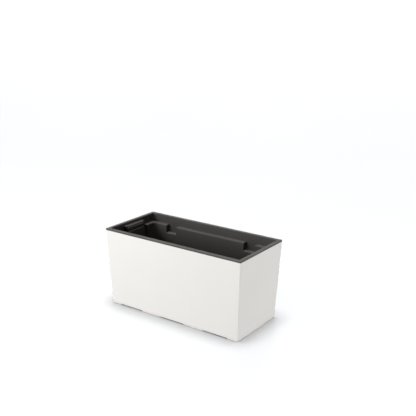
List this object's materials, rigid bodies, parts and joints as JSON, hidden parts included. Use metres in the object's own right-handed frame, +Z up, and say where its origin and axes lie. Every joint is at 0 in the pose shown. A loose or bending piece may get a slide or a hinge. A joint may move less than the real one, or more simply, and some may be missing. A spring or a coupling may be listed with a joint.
{
  "type": "self watering planter",
  "caption": "Tapered rectangular trough planter: white case as water reservoir, dark lift-out liner with pull-up handles, wick baskets, fill tube with lid and float level indicator.",
  "frame": {"origin": "on the ground under the middle of the case", "axes": "+Z up, +X along the trough towards the end with the fill tube, +Y across it, away from the long wall that the tube stands by"},
  "size_m": [0.58, 0.268, 0.29],
  "materials": {
    "case_white": "satin, very fine texture",
    "liner_graphite": "matte, fine texture",
    "handle_graphite": "matte",
    "black_plastic": "semi-matte",
    "seal_rubber": "matte",
    "clear_plastic": "clear gloss",
    "float_white": "foam",
    "flag_red": "gloss",
    "pin_steel": "bright"
  },
  "bodies": {
    "case": {"outer_case": "case_white"},
    "overflow": {"overflow_tube": "black_plastic", "overflow_seal": "seal_rubber"},
    "overflow_cap": {"overflow_cap": "handle_graphite"},
    "liner": {"liner": "liner_graphite", "wick_basket_left": "black_plastic", "wick_basket_middle": "black_plastic", "wick_basket_right": "black_plastic", "fill_tube": "liner_graphite", "fill_lid_pin": "pin_steel", "indicator_tube": "liner_graphite", "indicator_guide": "black_plastic", "indicator_window": "clear_plastic", "float_cage": "black_plastic"},
    "handle_left": {"handle_left": "handle_graphite"},
    "handle_right": {"handle_right": "handle_graphite"},
    "fill_lid": {"fill_lid": "handle_graphite"},
    "float": {"float": "float_white", "indicator_rod": "float_white", "indicator_flag": "flag_red"}
  },
  "joints": [
    {"name": "liner_lift", "type": "slide", "parent": "case", "child": "liner", "axis": [0, 0, 1], "range_m": [0, 0.3]},
    {"name": "handle_left_pull", "type": "slide", "parent": "liner", "child": "handle_left", "axis": [0, 0, 1], "range_m": [0, 0.058]},
    {"name": "handle_right_pull", "type": "slide", "parent": "liner", "child": "handle_right", "axis": [0, 0, 1], "range_m": [0, 0.058]},
    {"name": "fill_lid_hinge", "type": "hinge", "parent": "liner", "child": "fill_lid", "pos_m": [0.252, -0.07, 0.2516], "axis": [0, 1, 0], "range_deg": [0, 105]},
    {"name": "float_rise", "type": "slide", "parent": "liner", "child": "float", "axis": [0, 0, 1], "range_m": [0, 0.036]},
    {"name": "overflow_pull", "type": "slide", "parent": "case", "child": "overflow", "axis": [0, 0, 1], "range_m": [0, 0.014]},
    {"name": "overflow_cap_pull", "type": "slide", "parent": "overflow", "child": "overflow_cap", "axis": [0, 0, 1], "range_m": [0, 0.007]}
  ]
}
